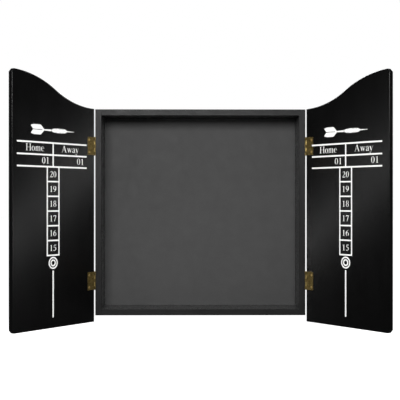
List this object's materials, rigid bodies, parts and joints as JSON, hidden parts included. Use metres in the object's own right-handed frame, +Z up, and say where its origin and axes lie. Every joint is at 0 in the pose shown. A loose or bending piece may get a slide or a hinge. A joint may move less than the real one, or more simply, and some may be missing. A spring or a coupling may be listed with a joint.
{
  "type": "dart board cabinet",
  "caption": "Square wall cabinet for a dartboard: an open box with rails behind its back panel, and S-topped double doors on butt hinges.",
  "frame": {"origin": "centre of the wall face of the middle rail, where the bull sits, halfway across and halfway up the box", "axes": "+Z up, +X to the right of someone facing the open cabinet, +Y into the wall; the doors open towards -Y"},
  "size_m": [0.8464, 0.3098, 0.5839],
  "materials": {
    "frame_paint": "satin black paint over fine open grain",
    "back_panel_paint": "matte charcoal paint on fibreboard",
    "door_paint": "satin black",
    "rail_board": "matte black stain",
    "dowel_wood": "bare beech",
    "zinc_steel": "zinc plated",
    "brass": "brushed, lacquered"
  },
  "bodies": {
    "cabinet": {"back_panel": "back_panel_paint", "bottom_board": "frame_paint", "cabinet_leaf_screws": "brass", "corner_dowels": "dowel_wood", "keyhole_hanger_screws": "zinc_steel", "left_hanging_block": "rail_board", "left_keyhole_hanger": "zinc_steel", "left_lower_hinge_cabinet_leaf": "brass", "left_lower_hinge_pin": "brass", "left_side_board": "frame_paint", "left_upper_hinge_cabinet_leaf": "brass", "left_upper_hinge_pin": "brass", "lower_rail": "rail_board", "middle_rail": "rail_board", "rail_dowels": "dowel_wood", "rail_screws": "zinc_steel", "right_hanging_block": "rail_board", "right_keyhole_hanger": "zinc_steel", "right_lower_hinge_cabinet_leaf": "brass", "right_lower_hinge_pin": "brass", "right_side_board": "frame_paint", "right_upper_hinge_cabinet_leaf": "brass", "right_upper_hinge_pin": "brass", "top_board": "frame_paint"},
    "left_door": {"left_door_leaf_screws": "brass", "left_door_panel": "door_paint", "left_lower_hinge_door_leaf": "brass", "left_upper_hinge_door_leaf": "brass"},
    "right_door": {"right_door_leaf_screws": "brass", "right_door_panel": "door_paint", "right_lower_hinge_door_leaf": "brass", "right_upper_hinge_door_leaf": "brass"}
  },
  "joints": [
    {"name": "left_door_hinge", "type": "hinge", "parent": "cabinet", "child": "left_door", "pos_m": [-0.2566, -0.109, 0], "axis": [0, 0, -1], "range_deg": [-128.7, 50]},
    {"name": "right_door_hinge", "type": "hinge", "parent": "cabinet", "child": "right_door", "pos_m": [0.2566, -0.109, 0], "axis": [0, 0, 1], "range_deg": [-128.7, 50]}
  ]
}
